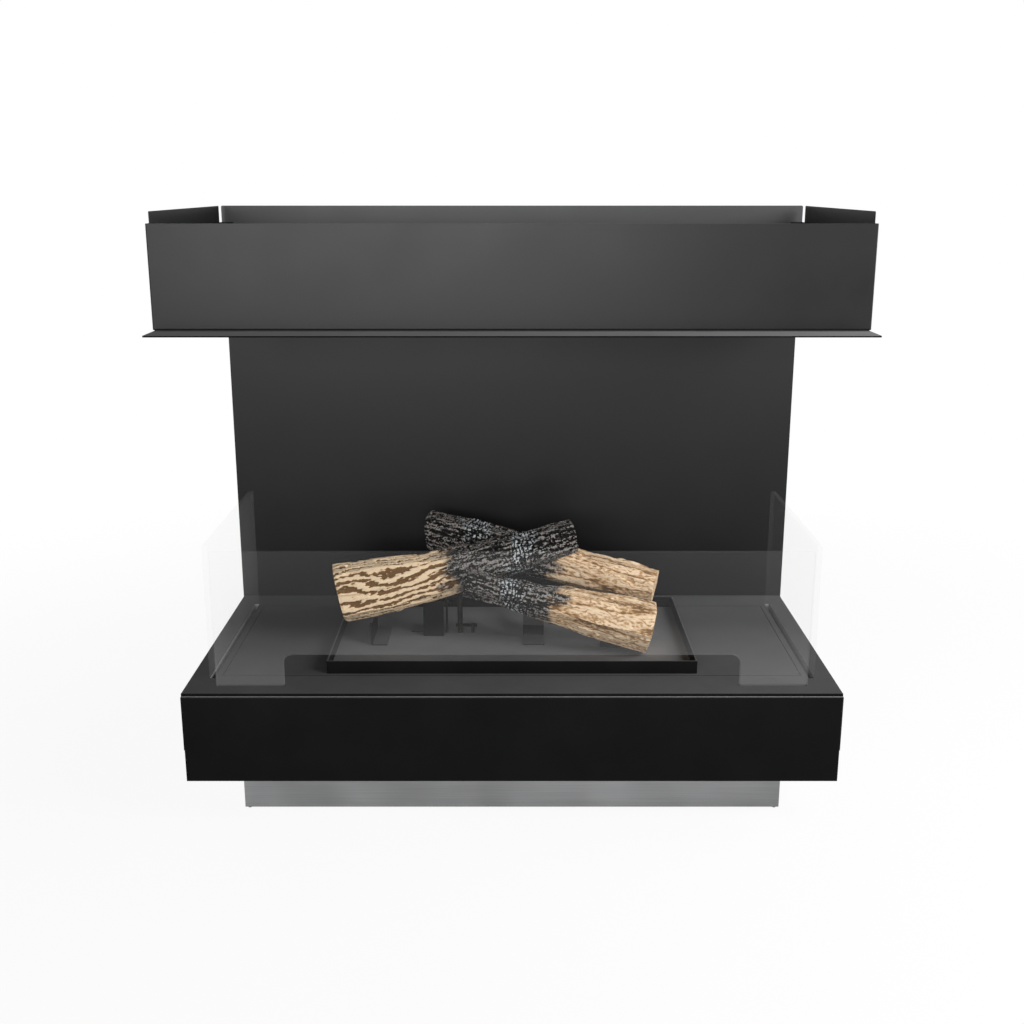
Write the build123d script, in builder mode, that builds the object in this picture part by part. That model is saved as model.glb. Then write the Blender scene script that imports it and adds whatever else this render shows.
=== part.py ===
from build123d import *
import os

os.makedirs("parts", exist_ok=True)

# Driving sizes of the whole fireplace, in millimetres.
# The origin is on the floor, under the middle of the outline, and the front faces -Y.
cabinet_width = 1000.0
cabinet_depth = 462.0
total_height = 934.4
lip_projection = 53.0
base_top = 228.9
plinth_top = 84.2
hood_height = 164.2
tab_height = 15.9

# Sheet, plate, bends and clearances
sheet = 1.5
plate = 2.0
bend = 2.0
seat_gap = 0.3
side_bracket_gap = 0.6
slip = 0.4
bore_slip = 0.1
overrun = 10.0

# Plinth and levelling screws
plinth_inset = 71.7
plinth_rear_inset = 22.0
floor_gap = 3.0
skirt_return = 20.0
corner_block_size = 12.0
corner_block_height = 25.0
corner_block_lift = 16.0
levelling_diameter = 6.0
levelling_length = 50.0
levelling_setback = 4.8

# Base: a fascia pan and two side pans round a floor sheet, with a lidded top
fascia_inset = 0.7
pan_return = 27.0
trim_thickness = 1.0
trim_height = 86.7
top_setback = 2.0
top_side_setback = 0.3
top_lip = 4.8

# Glasses, whose feet stand in channels under the base top
glass = 8.0
glass_height = 213.3
glass_foot = 15.4
glass_bevel = 0.6
front_glass_margin = 48.3
front_glass_offset = 30.7
front_foot_width = 103.7
front_cutout_height = 50.4
front_cutout_radius = 15.0
front_corner_radius = 4.0
side_glass_margin = 30.8
side_glass_offset = 61.1
side_glass_rear_margin = 50.5
side_corner_radius = 7.0
pad = 2.0

# Service cover and the ledge that carries it
cover_side_margin = 49.5
cover_rear_margin = 62.2
cover_offset = 73.2
seam = 1.0
ledge_landing = 5.0
ledge_overlap = 15.0

# Burner: raised collar, burner plate, tank, wool and flame slider
collar_width = 580.0
collar_margin = 6.9
collar_height = 20.8
collar_wall = 2.5
collar_corner = 1.5
flame_width = 170.0
flame_depth = 60.0
flame_corner = 8.0
flame_side_margin = 58.0
flame_rear_margin = 32.9
tank_wall = 1.5
tank_height = 62.0
tank_end_room = 25.0
tank_side_room = 11.0
tank_rim = 8.0
wool_height = 32.0
wool_clear = 1.0
slider_end_lap = 10.0
slider_side_lap = 6.0
slider_travel = 160.0
slider_corner = 6.0
slider_hole = 9.0
slider_hole_edge = 11.0
guide_foot = 5.0

# Log brackets, bent from one strap. Places are from the middle and behind the front plane.
strap = 34.5
strap_thickness = 2.0
strap_bend = 2.5
side_bracket_x = -233.0
side_bracket_front = 197.0
side_bracket_depth = 85.0
side_bracket_foot = 26.0
tall_bracket_x = -149.5
tall_bracket_front = 241.0
tall_bracket_return = 49.0
tall_bracket_foot = 22.0
tall_bracket_foot_depth = 30.0
ramp_x = 19.0
ramp_front = 241.0
ramp_foot = 42.0
ramp_lip = 18.0
far_ramp_x = 183.0
far_ramp_front = 215.0
far_ramp_foot = 10.0
low_bracket_x = 145.5
low_bracket_front = 185.0
low_bracket_shelf = 16.0
low_bracket_foot = 24.0

# Rods under the top log
post_x = -88.3
post_offset = 260.0
post_diameter = 8.8
post_clamp_level = 12.0
post_clamp_width = 36.0
pin_x = -110.8
pin_offset = 260.0
pin_diameter = 7.6
pin_stem = 3.6
pin_clamp_level = 54.0
pin_clamp_width = 15.0
clamp_depth = 12.0
clamp_sheet = 1.5
clamp_screw_x = -66.5
clamp_screw_diameter = 6.0
clamp_screw_neck = 4.0
clamp_screw_head = 2.4

# Logs: the ends of each one's middle line, as the distance from the middle, the distance behind
# the front plane and the height above the burner plate, and its half thickness near its first end
top_log_start = (-287.0, 215.0, 86.0)
top_log_end = (105.0, 275.0, 167.0)
top_log_radius = 50.0
front_log_start = (-76.0, 176.0, 117.0)
front_log_end = (226.0, 150.0, 48.0)
front_log_radius = 29.0
back_log_start = (-142.0, 396.0, 147.0)
back_log_end = (243.0, 300.0, 76.0)
back_log_radius = 39.0
log_station_shares = (0.0, 0.012, 0.2, 0.38, 0.55, 0.72, 0.88, 0.988, 1.0)
top_girth_shares = (0.97, 1.0, 0.96, 0.84, 0.75, 0.69, 0.62, 0.59, 0.56)
front_girth_shares = (0.81, 0.84, 0.87, 1.03, 1.21, 1.37, 1.48, 1.5, 1.46)
back_girth_shares = (0.99, 1.02, 1.03, 0.98, 0.94, 0.9, 0.85, 0.8, 0.77)
top_bow_shares = (0.0, -0.02, -0.13, -0.21, -0.17, -0.13, -0.04, 0.0, 0.0)
front_bow_shares = (0.0, 0.0, 0.05, -0.03, 0.04, -0.04, 0.03, 0.0, 0.0)
back_bow_shares = (0.0, 0.0, 0.04, -0.03, 0.04, -0.04, 0.03, 0.0, 0.0)
back_slant_share = 0.3
bark_shares = (1.0, 0.93, 1.05, 0.9, 0.98, 1.03, 0.88, 1.02, 0.95, 1.06, 0.91, 0.97)

# Back panel and hood
back_sheet = 2.0
back_corner = 2.5
hood_return = 20.0
tab_rear = 24.0
tab_notch = 27.4
lip_corner = 2.5
seal = 1.8
seal_setback = 2.0
seal_width = 6.0

# Fasteners: M5 hexagon screws, and two holes for fixing the back panel to a wall
m5 = 5.0
m5_across_flats = 8.0
m5_head_height = 3.5
hood_screw_inset = 14.0
screw_end_share = 0.2
hood_front_screw_share = 0.3
hood_side_screw_share = 0.5
wall_hole = 8.0
wall_hole_inset = 100.0
wall_hole_drop = 112.0

# Places that follow from the driving sizes
half_width = cabinet_width / 2
front_y = lip_projection - (cabinet_depth + lip_projection) / 2
rear_y = front_y + cabinet_depth
back_face_y = rear_y - back_sheet
hood_base = total_height - hood_height
hood_front_top = total_height - tab_height
wall_hole_x = half_width - wall_hole_inset
fascia_half = half_width - fascia_inset
pan_top = base_top - top_lip
floor_sheet_z = plinth_top + sheet
plinth_half = half_width - plinth_inset
plinth_front_y = front_y + plinth_inset
plinth_rear_y = rear_y - plinth_rear_inset
cover_width = cabinet_width - 2 * cover_side_margin
cover_depth = cabinet_depth - cover_offset - cover_rear_margin
cover_y = front_y + cover_offset + cover_depth / 2
collar_depth = cover_depth - 2 * collar_margin
burner_level = base_top + plate
flame_x = collar_width / 2 - flame_side_margin - flame_width / 2
flame_y = cover_y + collar_depth / 2 - flame_rear_margin - flame_depth / 2
slider_width = flame_width + 2 * slider_end_lap
slider_depth = flame_depth + 2 * slider_side_lap
tank_width = slider_width + slider_travel + 2 * tank_end_room
tank_depth = slider_depth + 2 * tank_side_room
tank_x = flame_x - slider_travel / 2
hood_pan_bottom = hood_base + plate + seal
front_glass_width = cabinet_width - 2 * front_glass_margin
front_cutout_width = front_glass_width - 2 * front_foot_width
front_foot_x = (front_glass_width - front_foot_width) / 2
front_glass_y = front_y + front_glass_offset + glass / 2
side_glass_reach = half_width - side_glass_margin
side_glass_x = side_glass_reach - glass / 2
side_glass_depth = cabinet_depth - side_glass_offset - side_glass_rear_margin
side_glass_y = front_y + side_glass_offset + side_glass_depth / 2
channel_depth = glass_foot - plate + pad + sheet
sides = (-1, 1)
end_shares = (screw_end_share, 1 - screw_end_share)

# Screw places: a plane's origin is under the screw's head, and its Z is the way the head faces
hood_rear_places = [
    Plane(
        origin=(
            side * (half_width - hood_return / 2),
            back_face_y - sheet,
            hood_pan_bottom + (hood_front_top - hood_pan_bottom) * share,
        ),
        z_dir=(0, -1, 0),
    )
    for side in sides
    for share in end_shares
]
hood_floor_places = [
    Plane((side * x, y, hood_pan_bottom + sheet))
    for side in sides
    for x, y in (
        (half_width - hood_screw_inset, front_y + cabinet_depth * hood_side_screw_share),
        (cabinet_width * hood_front_screw_share, front_y + hood_screw_inset),
    )
]
levelling_places = {
    f"{row}_{hand}": (side * (plinth_half - sheet - levelling_setback), y)
    for row, y in (
        ("front", plinth_front_y + sheet + levelling_setback),
        ("rear", plinth_rear_y - sheet - levelling_setback),
    )
    for hand, side in (("left", -1), ("right", 1))
}


def hexagon_screw(grip):
    """A screw whose head stands on the XY plane and whose shank goes down to the grip length."""
    with BuildPart() as screw:
        with BuildSketch():
            RegularPolygon(m5_across_flats / 2, 6, major_radius=False)
        extrude(amount=m5_head_height)
        with BuildSketch():
            Circle(m5 / 2)
        extrude(amount=-grip)
    return screw.part


def screw_bores(places):
    """The clearance holes of the screws at the given places, as solids to cut with."""
    with BuildPart() as bores:
        with Locations(*places):
            Cylinder(m5 / 2 + bore_slip, 2 * overrun)
    return bores.part


def glass_channel(length):
    """A U channel with closed ends, along X, whose open rim is on the XY plane."""
    with BuildPart() as channel:
        Box(
            length + 2 * slip + 2 * sheet,
            glass + 2 * slip + 2 * sheet,
            channel_depth,
            align=(Align.CENTER, Align.CENTER, Align.MAX),
        )
        offset(amount=-sheet, openings=channel.faces().sort_by(Axis.Z)[-1])
    return channel.part


def rough_log(start, end, radius, girth_shares, bow_shares, first_corner, slant_share=0):
    """A split log: uneven sections along its length, from a sawn end that may slant to a square one."""
    lift = Vector(0, front_y, burner_level)
    first, last = Vector(*start) + lift, Vector(*end) + lift
    length = last - first
    across = Vector(0, 0, 1).cross(length)
    corners = len(bark_shares)
    with BuildPart() as log:
        for station, share in enumerate(log_station_shares):
            middle = first + length * share + Vector(0, 0, radius * bow_shares[station])
            girth = radius * girth_shares[station]
            facing = length.normalized() + Vector(0, 0, slant_share * (1 - share))
            with BuildSketch(Plane(origin=middle, x_dir=across, z_dir=facing)):
                with BuildLine():
                    Polyline(
                        *[
                            Vector(girth * bark_shares[(corner + first_corner) % corners], 0).rotate(
                                Axis.Z, 360 * corner / corners
                            )
                            for corner in range(corners)
                        ],
                        close=True,
                    )
                make_face()
        loft(ruled=True)
    return log.part


def seated(log, heading, neighbour):
    """The log moved along its heading until only the seat gap is left to its neighbour."""
    gap = log.distance_to(neighbour) - seat_gap
    while gap > seat_gap / 10:
        log = log.moved(Location(Vector(*heading) * gap))
        gap = log.distance_to(neighbour) - seat_gap
    return log


def log_over(log, x_low, x_high, y_low=front_y, y_high=rear_y):
    """The box round the part of a log that lies over a rectangle of the burner."""
    with BuildPart() as part_over:
        add(log)
        with Locations(((x_low + x_high) / 2, (y_low + y_high) / 2, 0)):
            Box(x_high - x_low, y_high - y_low, 2 * total_height, mode=Mode.INTERSECT)
    return part_over.part.bounding_box()


# Plinth: four skirts of folded sheet, spot-welded under the base floor
with BuildPart() as plinth_front_skirt:
    with BuildSketch(Plane.YZ.offset(-plinth_half)):
        with BuildLine():
            FilletPolyline(
                (plinth_front_y, floor_gap),
                (plinth_front_y, floor_sheet_z),
                (plinth_front_y + skirt_return, floor_sheet_z),
                radius=bend,
            )
            offset(amount=sheet, side=Side.RIGHT)
        make_face()
    extrude(amount=2 * plinth_half)

with BuildPart() as plinth_rear_skirt:
    with BuildSketch(Plane.YZ.offset(-plinth_half)):
        with BuildLine():
            FilletPolyline(
                (plinth_rear_y, floor_gap),
                (plinth_rear_y, floor_sheet_z),
                (plinth_rear_y - skirt_return, floor_sheet_z),
                radius=bend,
            )
            offset(amount=sheet, side=Side.LEFT)
        make_face()
    extrude(amount=2 * plinth_half)

with BuildPart() as plinth_left_skirt:
    with BuildSketch(Plane.XZ.offset(-plinth_front_y - sheet)):
        with BuildLine():
            FilletPolyline(
                (-plinth_half, floor_gap),
                (-plinth_half, floor_sheet_z),
                (-plinth_half + skirt_return, floor_sheet_z),
                radius=bend,
            )
            offset(amount=sheet, side=Side.RIGHT)
        make_face()
    extrude(amount=plinth_front_y - plinth_rear_y + 2 * sheet)
    with Locations(*[(-plinth_half, y, floor_sheet_z) for y in (plinth_front_y, plinth_rear_y)]):
        Box(2 * (skirt_return + slip), 2 * (skirt_return + slip), 2 * bend, mode=Mode.SUBTRACT)

with BuildPart() as plinth_right_skirt:
    mirror(plinth_left_skirt.part, about=Plane.YZ)

# Corner blocks are welded into the plinth's corners, and the levelling screws turn in them
with BuildPart() as plinth_corner_blocks:
    for place, (x, y) in levelling_places.items():
        corner_x = plinth_half - sheet if "right" in place else -plinth_half + sheet
        corner_y = plinth_front_y + sheet if "front" in place else plinth_rear_y - sheet
        x_align = Align.MAX if "right" in place else Align.MIN
        y_align = Align.MIN if "front" in place else Align.MAX
        with Locations((corner_x, corner_y, corner_block_lift)):
            Box(
                corner_block_size,
                corner_block_size,
                corner_block_height,
                align=(x_align, y_align, Align.MIN),
            )
    with Locations(*[(x, y, 0) for x, y in levelling_places.values()]):
        Cylinder(levelling_diameter / 2 + bore_slip / 2, 2 * total_height, mode=Mode.SUBTRACT)

levelling_screws = {}
for place, (x, y) in levelling_places.items():
    with BuildPart() as levelling_screw:
        with BuildSketch():
            with Locations((x, y)):
                Circle(levelling_diameter / 2)
        extrude(amount=levelling_length)
    levelling_screws[place] = levelling_screw

# Base: the floor sheet lies on the returns of the pans, and all of it is spot-welded into one box
with BuildPart() as base_floor:
    with BuildSketch(Plane.XY.offset(floor_sheet_z)):
        with Locations((0, (front_y + back_face_y + sheet + slip) / 2)):
            Rectangle(2 * (fascia_half - sheet - slip), back_face_y - front_y - sheet - slip)
    extrude(amount=sheet)

with BuildPart() as front_fascia:
    with Locations((0, front_y, plinth_top)):
        Box(2 * fascia_half, pan_return, pan_top - plinth_top, align=(Align.CENTER, Align.MIN, Align.MIN))
    fillet(front_fascia.faces().sort_by(Axis.Y)[0].edges(), bend)
    offset(amount=-sheet, openings=front_fascia.faces().sort_by(Axis.Y)[-1])
    with Locations((0, front_y + pan_return, floor_sheet_z)):
        Box(
            2 * (fascia_half - sheet),
            2 * (pan_return - sheet - slip),
            sheet,
            align=(Align.CENTER, Align.CENTER, Align.MIN),
            mode=Mode.SUBTRACT,
        )

with BuildPart() as left_side_panel:
    with Locations((-fascia_half, front_y + pan_return, plinth_top)):
        Box(
            pan_return,
            back_face_y - front_y - pan_return,
            pan_top - plinth_top,
            align=(Align.MIN, Align.MIN, Align.MIN),
        )
    fillet(left_side_panel.faces().sort_by(Axis.X)[0].edges(), bend)
    offset(amount=-sheet, openings=left_side_panel.faces().sort_by(Axis.X)[-1])
    with Locations((-fascia_half + pan_return, 0, floor_sheet_z)):
        Box(
            2 * (pan_return - sheet - slip),
            2 * cabinet_depth,
            sheet,
            align=(Align.CENTER, Align.CENTER, Align.MIN),
            mode=Mode.SUBTRACT,
        )

with BuildPart() as right_side_panel:
    mirror(left_side_panel.part, about=Plane.YZ)

# A thin trim plate covers the upper part of each side
with BuildPart() as left_side_trim:
    with Locations((-fascia_half, front_y + bend, pan_top - bend - trim_height)):
        Box(
            trim_thickness,
            cabinet_depth - back_sheet - bend,
            trim_height,
            align=(Align.MAX, Align.MIN, Align.MIN),
        )

with BuildPart() as right_side_trim:
    mirror(left_side_trim.part, about=Plane.YZ)

# Base top: a lidded plate with the opening for the service cover and slots for the glasses
with BuildPart() as base_top_plate:
    with Locations((0, back_face_y, base_top)):
        Box(
            2 * (fascia_half - top_side_setback),
            back_face_y - front_y - top_setback,
            top_lip,
            align=(Align.CENTER, Align.MAX, Align.MAX),
        )
    fillet(base_top_plate.faces().sort_by(Axis.Z)[-1].edges().sort_by(Axis.Y)[:-1], plate / 2)
    offset(
        amount=-plate,
        openings=[base_top_plate.faces().sort_by(Axis.Z)[0], base_top_plate.faces().sort_by(Axis.Y)[-1]],
    )
    with BuildSketch(Plane.XY.offset(base_top)):
        with Locations((0, cover_y)):
            Rectangle(cover_width + 2 * seam, cover_depth + 2 * seam)
        with Locations(*[(side * front_foot_x, front_glass_y) for side in sides]):
            Rectangle(front_foot_width + 2 * slip, glass + 2 * slip)
        with Locations(*[(side * side_glass_x, side_glass_y) for side in sides]):
            Rectangle(glass + 2 * slip, side_glass_depth + 2 * slip)
    extrude(amount=-top_lip, mode=Mode.SUBTRACT)

with BuildPart() as cover_ledge:
    with BuildSketch(Plane.XY.offset(base_top - plate)):
        with Locations((0, cover_y)):
            Rectangle(cover_width + 2 * seam + 2 * ledge_landing, cover_depth + 2 * seam + 2 * ledge_landing)
            Rectangle(
                cover_width - 2 * ledge_overlap,
                cover_depth - 2 * ledge_overlap,
                mode=Mode.SUBTRACT,
            )
    extrude(amount=-sheet)

# Glass channels hang under the base top, each with a soft pad on its floor
with BuildPart() as front_glass_channels:
    with Locations(*[(side * front_foot_x, front_glass_y, base_top - plate) for side in sides]):
        add(glass_channel(front_foot_width))

with BuildPart() as left_glass_channel:
    with Locations(Location((-side_glass_x, side_glass_y, base_top - plate), (0, 0, 90))):
        add(glass_channel(side_glass_depth))

with BuildPart() as right_glass_channel:
    mirror(left_glass_channel.part, about=Plane.YZ)

with BuildPart() as front_glass_pads:
    with Locations(*[(side * front_foot_x, front_glass_y, base_top - glass_foot) for side in sides]):
        Box(front_foot_width, glass, pad, align=(Align.CENTER, Align.CENTER, Align.MAX))

with BuildPart() as left_glass_pad:
    with Locations((-side_glass_x, side_glass_y, base_top - glass_foot)):
        Box(glass, side_glass_depth, pad, align=(Align.CENTER, Align.CENTER, Align.MAX))

with BuildPart() as right_glass_pad:
    mirror(left_glass_pad.part, about=Plane.YZ)

# Glasses: toughened panes with bevelled edges; the front one has a low wide cut-out
with BuildPart() as front_glass:
    with BuildSketch(Plane.XZ.offset(-front_y - front_glass_offset)) as front_outline:
        with Locations((0, base_top + glass_height)):
            Rectangle(front_glass_width, glass_height + glass_foot, align=(Align.CENTER, Align.MAX))
        fillet(front_outline.vertices().group_by(Axis.Y)[-1], front_corner_radius)
        with BuildSketch(mode=Mode.SUBTRACT) as front_cutout:
            with Locations((0, base_top + front_cutout_height)):
                Rectangle(
                    front_cutout_width, front_cutout_height + glass_foot, align=(Align.CENTER, Align.MAX)
                )
            fillet(front_cutout.vertices().group_by(Axis.Y)[-1], front_cutout_radius)
    extrude(amount=-glass)
    chamfer(front_glass.faces().filter_by(Axis.Y).edges(), glass_bevel)

with BuildPart() as left_glass:
    with BuildSketch(Plane.YZ.offset(-side_glass_reach)) as side_outline:
        with Locations((side_glass_y, base_top + glass_height)):
            Rectangle(side_glass_depth, glass_height + glass_foot, align=(Align.CENTER, Align.MAX))
        fillet(side_outline.vertices().group_by(Axis.Y)[-1], side_corner_radius)
    extrude(amount=glass)
    chamfer(left_glass.faces().filter_by(Axis.X).edges(), glass_bevel)

with BuildPart() as right_glass:
    mirror(left_glass.part, about=Plane.YZ)

# Burner module, which lifts out with its cover: cover, collar, plate, tank, wool and slider
with BuildPart() as service_cover:
    with BuildSketch(Plane.XY.offset(base_top)):
        with Locations((0, cover_y)):
            Rectangle(cover_width, cover_depth)
        with Locations((tank_x, flame_y)):
            Rectangle(
                tank_width + 2 * tank_rim + 2 * slip, tank_depth + 2 * tank_rim + 2 * slip, mode=Mode.SUBTRACT
            )
    extrude(amount=-plate)

with BuildPart() as burner_collar:
    with BuildSketch(Plane.XY.offset(base_top)) as collar_ring:
        with Locations((0, cover_y)):
            Rectangle(collar_width, collar_depth)
        fillet(collar_ring.vertices(), collar_corner)
        with Locations((0, cover_y)):
            Rectangle(collar_width - 2 * collar_wall, collar_depth - 2 * collar_wall, mode=Mode.SUBTRACT)
    extrude(amount=collar_height)

with BuildPart() as burner_plate:
    with BuildSketch(Plane.XY.offset(base_top)):
        with Locations((0, cover_y)):
            Rectangle(
                collar_width - 2 * collar_wall - 2 * seat_gap, collar_depth - 2 * collar_wall - 2 * seat_gap
            )
        with BuildSketch(mode=Mode.SUBTRACT) as flame_opening:
            with Locations((flame_x, flame_y)):
                Rectangle(flame_width, flame_depth)
            fillet(flame_opening.vertices(), flame_corner)
    extrude(amount=plate)

with BuildPart() as fuel_tank:
    with Locations((tank_x, flame_y, base_top)):
        Box(tank_width, tank_depth, tank_height, align=(Align.CENTER, Align.CENTER, Align.MAX))
    offset(amount=-tank_wall, openings=fuel_tank.faces().sort_by(Axis.Z)[-1])
    with BuildSketch(Plane.XY.offset(base_top)):
        with Locations((tank_x, flame_y)):
            Rectangle(tank_width + 2 * tank_rim, tank_depth + 2 * tank_rim)
            Rectangle(tank_width - 2 * tank_wall, tank_depth - 2 * tank_wall, mode=Mode.SUBTRACT)
    extrude(amount=-tank_wall)

with BuildPart() as wool_block:
    with Locations((tank_x, flame_y, base_top - tank_height + tank_wall)):
        Box(
            tank_width - 2 * tank_wall - 2 * wool_clear,
            tank_depth - 2 * tank_wall - 2 * wool_clear,
            wool_height,
            align=(Align.CENTER, Align.CENTER, Align.MIN),
        )

# The slider is shown open: only its end with the hook hole stands in the flame opening
slider_open_x = flame_x - slider_travel
with BuildPart() as flame_slider:
    with BuildSketch(Plane.XY.offset(base_top - seat_gap)) as slider_outline:
        with Locations((slider_open_x, flame_y)):
            Rectangle(slider_width, slider_depth)
        fillet(slider_outline.vertices(), slider_corner)
        with Locations((slider_open_x + slider_width / 2 - slider_hole_edge, flame_y)):
            Circle(slider_hole / 2, mode=Mode.SUBTRACT)
    extrude(amount=-plate)

with BuildPart() as slider_guides:
    web = slider_depth / 2 + seat_gap
    with BuildSketch(Plane.YZ.offset(slider_open_x - slider_width / 2)):
        for side in sides:
            with BuildLine():
                Polyline(
                    (flame_y + side * web, base_top),
                    (flame_y + side * (web + sheet), base_top),
                    (flame_y + side * (web + sheet), base_top - plate - 2 * seat_gap - sheet),
                    (flame_y + side * (web - guide_foot), base_top - plate - 2 * seat_gap - sheet),
                    (flame_y + side * (web - guide_foot), base_top - plate - 2 * seat_gap),
                    (flame_y + side * web, base_top - plate - 2 * seat_gap),
                    close=True,
                )
            make_face()
    extrude(amount=slider_width + slider_travel)

# Logs: the front log stands on the burner plate, and it and the back log lean on the top log
top_log_solid = rough_log(
    top_log_start, top_log_end, top_log_radius, top_girth_shares, top_bow_shares, 0
)
front_log_solid = rough_log(
    front_log_start, front_log_end, front_log_radius, front_girth_shares, front_bow_shares, 3
)
front_log_solid = seated(front_log_solid, (0, 0, -1), burner_plate.part)
front_log_solid = seated(front_log_solid, (0, 1, 0), top_log_solid)
back_log_solid = rough_log(
    back_log_start, back_log_end, back_log_radius, back_girth_shares, back_bow_shares, 7, back_slant_share
)
back_log_solid = seated(back_log_solid, (0, -1, 0), top_log_solid)

with BuildPart() as top_log:
    add(top_log_solid)

with BuildPart() as front_log:
    add(front_log_solid)

with BuildPart() as back_log:
    add(back_log_solid)

# Log brackets: straps bent to reach the underside of the log above them
with BuildPart() as log_bracket_1:
    bracket_y = front_y + side_bracket_front
    bracket_top = (
        log_over(
            top_log_solid,
            side_bracket_x,
            side_bracket_x + strap_thickness,
            bracket_y,
            bracket_y + side_bracket_depth,
        ).min.Z
        - side_bracket_gap
    )
    with BuildSketch(Plane.XZ.offset(-bracket_y)):
        with BuildLine():
            FilletPolyline(
                (side_bracket_x + side_bracket_foot, burner_level),
                (side_bracket_x, burner_level),
                (side_bracket_x, bracket_top),
                radius=strap_bend,
            )
            offset(amount=strap_thickness, side=Side.RIGHT)
        make_face()
    extrude(amount=-side_bracket_depth)

with BuildPart() as log_bracket_2:
    bracket_y = front_y + tall_bracket_front
    bracket_top = (
        log_over(
            top_log_solid,
            tall_bracket_x,
            tall_bracket_x + strap,
            bracket_y,
            bracket_y + tall_bracket_return,
        ).min.Z
        - seat_gap
    )
    with BuildSketch(Plane.XY.offset(burner_level)):
        with BuildLine():
            FilletPolyline(
                (tall_bracket_x, bracket_y + tall_bracket_return),
                (tall_bracket_x, bracket_y),
                (tall_bracket_x + strap, bracket_y),
                radius=strap_bend,
            )
            offset(amount=strap_thickness, side=Side.LEFT)
        make_face()
    extrude(amount=bracket_top - burner_level)
    with Locations((tall_bracket_x + strap_thickness, bracket_y + tall_bracket_return, burner_level)):
        Box(
            tall_bracket_foot + strap_thickness,
            tall_bracket_foot_depth,
            strap_thickness,
            align=(Align.MAX, Align.MAX, Align.MIN),
        )


def ramp_bracket(x, front, foot):
    """A strap with a foot and a low lip, whose ramp rises backwards to the back log's underside."""
    over = log_over(back_log_solid, x, x + strap)
    strap_level = burner_level + strap_thickness
    with BuildPart() as bracket:
        with BuildSketch(Plane.YZ.offset(x)):
            with BuildLine():
                FilletPolyline(
                    (front_y + front - foot, strap_level),
                    (front_y + front, strap_level),
                    (front_y + front, strap_level + ramp_lip),
                    ((over.min.Y + over.max.Y) / 2, over.min.Z - seat_gap),
                    radius=strap_bend / 2,
                )
                offset(amount=strap_thickness, side=Side.RIGHT)
            make_face()
        extrude(amount=strap)
    return bracket.part


with BuildPart() as log_bracket_3:
    add(ramp_bracket(ramp_x, ramp_front, ramp_foot))

with BuildPart() as log_bracket_4:
    bracket_y = front_y + low_bracket_front
    bracket_top = (
        log_over(
            front_log_solid,
            low_bracket_x,
            low_bracket_x + strap,
            bracket_y,
            bracket_y + low_bracket_shelf,
        ).min.Z
        - seat_gap
    )
    with BuildSketch(Plane.YZ.offset(low_bracket_x)):
        with BuildLine():
            FilletPolyline(
                (bracket_y + low_bracket_foot, burner_level),
                (bracket_y, burner_level),
                (bracket_y, bracket_top),
                (bracket_y + low_bracket_shelf, bracket_top),
                radius=strap_bend,
            )
            offset(amount=strap_thickness, side=Side.RIGHT)
        make_face()
    extrude(amount=strap)

with BuildPart() as log_bracket_5:
    add(ramp_bracket(far_ramp_x, far_ramp_front, far_ramp_foot))

# Rods under the top log, each with a clamp plate
with BuildPart() as support_post:
    post_y = front_y + post_offset
    post_top = (
        log_over(
            top_log_solid,
            post_x - post_diameter / 2,
            post_x + post_diameter / 2,
            post_y - post_diameter / 2,
            post_y + post_diameter / 2,
        ).min.Z
        - seat_gap
    )
    with BuildSketch(Plane.XY.offset(burner_level)):
        with Locations((post_x, post_y)):
            Circle(post_diameter / 2)
    extrude(amount=post_top - burner_level)

with BuildPart() as support_pin:
    pin_y = front_y + pin_offset
    pin_top = (
        log_over(
            top_log_solid,
            pin_x - pin_diameter / 2,
            pin_x + pin_diameter / 2,
            pin_y - pin_diameter / 2,
            pin_y + pin_diameter / 2,
        ).min.Z
        - seat_gap
    )
    with BuildSketch(Plane.XY.offset(burner_level)):
        with Locations((pin_x, pin_y)):
            Circle(pin_stem / 2)
    extrude(amount=pin_clamp_level + clamp_sheet)
    with BuildSketch(Plane.XY.offset(burner_level + pin_clamp_level + clamp_sheet)):
        with Locations((pin_x, pin_y)):
            Circle(pin_diameter / 2)
    extrude(amount=pin_top - burner_level - pin_clamp_level - clamp_sheet)

with BuildPart() as post_clamp:
    with BuildSketch(Plane.XY.offset(burner_level + post_clamp_level)):
        with Locations(((post_x + clamp_screw_x) / 2, post_y)):
            Rectangle(post_clamp_width, clamp_depth)
        with Locations((post_x, post_y)):
            Circle(post_diameter / 2 + bore_slip, mode=Mode.SUBTRACT)
        with Locations((clamp_screw_x, post_y)):
            Circle(clamp_screw_neck / 2 + bore_slip, mode=Mode.SUBTRACT)
    extrude(amount=clamp_sheet)

with BuildPart() as pin_clamp:
    with BuildSketch(Plane.XY.offset(burner_level + pin_clamp_level)):
        with Locations((pin_x, pin_y)):
            Rectangle(pin_clamp_width, clamp_depth)
            Circle(pin_stem / 2 + bore_slip, mode=Mode.SUBTRACT)
    extrude(amount=clamp_sheet)

with BuildPart() as clamp_screw:
    with BuildSketch(Plane.XY.offset(burner_level)):
        with Locations((clamp_screw_x, post_y)):
            Circle(clamp_screw_diameter / 2)
    extrude(amount=post_clamp_level)
    with BuildSketch(Plane.XY.offset(burner_level + post_clamp_level)):
        with Locations((clamp_screw_x, post_y)):
            Circle(clamp_screw_neck / 2)
    extrude(amount=clamp_sheet)
    with BuildSketch(Plane.XY.offset(burner_level + post_clamp_level + clamp_sheet)):
        with Locations((clamp_screw_x, post_y)):
            RegularPolygon(clamp_screw_diameter / 2, 6)
    extrude(amount=clamp_screw_head)

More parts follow.
